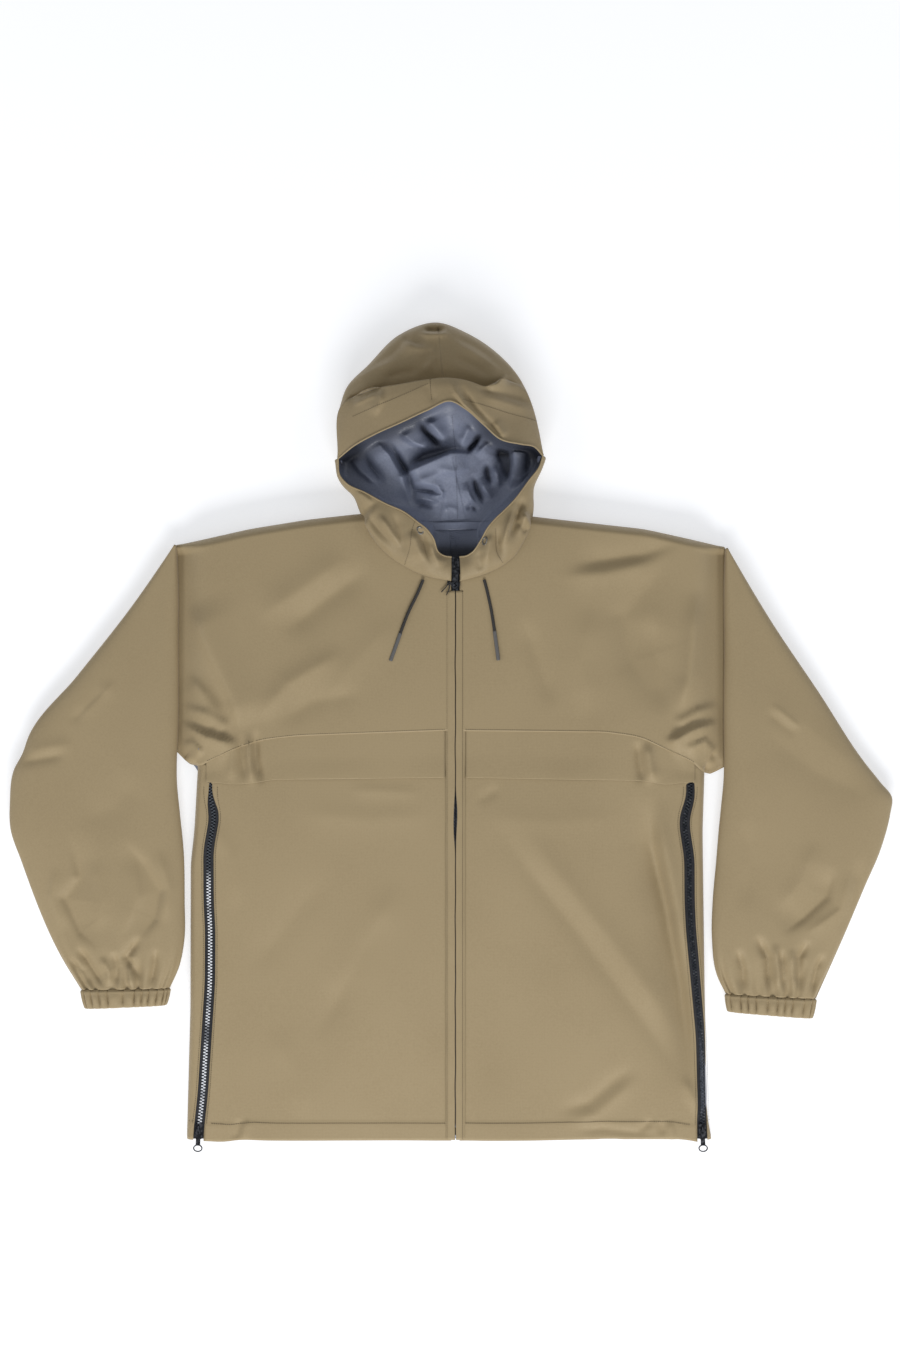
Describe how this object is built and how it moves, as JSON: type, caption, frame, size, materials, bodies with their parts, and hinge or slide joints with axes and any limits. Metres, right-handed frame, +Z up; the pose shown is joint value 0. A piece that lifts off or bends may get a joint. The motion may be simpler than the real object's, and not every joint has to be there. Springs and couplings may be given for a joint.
{
  "type": "hooded shell jacket",
  "caption": "Hooded waterproof shell jacket laid flat and closed, with a front zip under a placket, side zips, a chest flap, elastic cuffs and hood drawcords.",
  "frame": {"origin": "on the table, under the middle of the jacket's plan", "axes": "+X to the wearer's left, +Y from the hem to the hood, +Z up from the table through the front"},
  "size_m": [1.09, 1.0219, 0.088],
  "materials": {
    "shell_cloth": "matt woven waterproof shell cloth",
    "lining": "grey membrane with seam tape",
    "zip_tape": "woven polyester tape",
    "zip_teeth": "moulded teeth with a metallic lustre",
    "zip_metal": "dark gunmetal coating",
    "cord": "braided cord",
    "cord_tip": "dull grey-brown plastic",
    "elastic": "knitted rubber elastic"
  },
  "bodies": {
    "root": {"back_panel": "shell_cloth", "left_yoke": "shell_cloth", "left_front": "shell_cloth", "left_side_panel": "shell_cloth", "left_chest_flap": "shell_cloth", "left_placket": "shell_cloth", "left_collar": "shell_cloth", "right_yoke": "shell_cloth", "right_front": "shell_cloth", "right_side_panel": "shell_cloth", "right_chest_flap": "shell_cloth", "right_placket": "shell_cloth", "right_collar": "shell_cloth", "neck_tape": "lining", "left_front_tape": "zip_tape", "left_front_teeth": "zip_teeth", "right_front_tape": "zip_tape", "right_front_teeth": "zip_teeth", "front_top_stops": "zip_teeth", "front_zip_box": "zip_teeth", "left_side_tape_inner": "zip_tape", "left_side_teeth_inner": "zip_teeth", "left_side_tape_outer": "zip_tape", "left_side_teeth_outer": "zip_teeth", "left_side_top_stop": "zip_teeth", "right_side_tape_inner": "zip_tape", "right_side_teeth_inner": "zip_teeth", "right_side_tape_outer": "zip_tape", "right_side_teeth_outer": "zip_teeth", "right_side_top_stop": "zip_teeth", "side_bottom_stops": "zip_teeth", "left_drawcord": "cord", "left_cord_tip": "cord_tip", "right_drawcord": "cord", "right_cord_tip": "cord_tip"},
    "hood": {"left_hood": "shell_cloth", "right_hood": "shell_cloth", "hood_brim": "shell_cloth", "left_hood_eyelet": "zip_metal", "right_hood_eyelet": "zip_metal"},
    "front_slider": {"front_slider": "zip_metal"},
    "front_pull": {"front_pull": "zip_metal", "pull_cord_long": "cord", "pull_cord_short": "cord", "pull_cord_knot": "cord"},
    "left_sleeve": {"left_sleeve_top": "shell_cloth", "left_sleeve_under": "shell_cloth", "left_cuff": "shell_cloth", "left_cuff_elastic": "elastic"},
    "left_side_slider": {"left_side_slider": "zip_metal"},
    "left_side_pull": {"left_side_pull": "zip_metal"},
    "right_sleeve": {"right_sleeve_top": "shell_cloth", "right_sleeve_under": "shell_cloth", "right_cuff": "shell_cloth", "right_cuff_elastic": "elastic"},
    "right_side_slider": {"right_side_slider": "zip_metal"},
    "right_side_pull": {"right_side_pull": "zip_metal"}
  },
  "joints": [
    {"name": "hood_lift", "type": "hinge", "parent": "root", "child": "hood", "pos_m": [-0.012, 0.224, 0.036], "axis": [1, 0, 0], "range_deg": [0, 95]},
    {"name": "left_sleeve_fold", "type": "hinge", "parent": "root", "child": "left_sleeve", "pos_m": [0.338, 0, 0.033], "axis": [0, -1, 0], "range_deg": [0, 175]},
    {"name": "right_sleeve_fold", "type": "hinge", "parent": "root", "child": "right_sleeve", "pos_m": [-0.338, 0, 0.033], "axis": [0, 1, 0], "range_deg": [0, 175]},
    {"name": "front_zip", "type": "slide", "parent": "root", "child": "front_slider", "axis": [0, -0.9997, -0.0259], "range_m": [0, 0.681]},
    {"name": "front_pull_swing", "type": "hinge", "parent": "front_slider", "child": "front_pull", "pos_m": [0.006, 0.20584, 0.03374], "axis": [-1, 0, 0], "range_deg": [0, 135]},
    {"name": "left_side_zip", "type": "slide", "parent": "root", "child": "left_side_slider", "axis": [-0.0372, 0.999, 0.0259], "range_m": [0, 0.42]},
    {"name": "left_side_pull_swing", "type": "hinge", "parent": "left_side_slider", "child": "left_side_pull", "pos_m": [0.31055, -0.48793, 0.01574], "axis": [-0.9993, -0.0372, -0.001], "range_deg": [0, 135]},
    {"name": "right_side_zip", "type": "slide", "parent": "root", "child": "right_side_slider", "axis": [0.0372, 0.999, 0.0259], "range_m": [0, 0.42]},
    {"name": "right_side_pull_swing", "type": "hinge", "parent": "right_side_slider", "child": "right_side_pull", "pos_m": [-0.31055, -0.48793, 0.01574], "axis": [-0.9993, 0.0372, 0.001], "range_deg": [0, 135]}
  ]
}
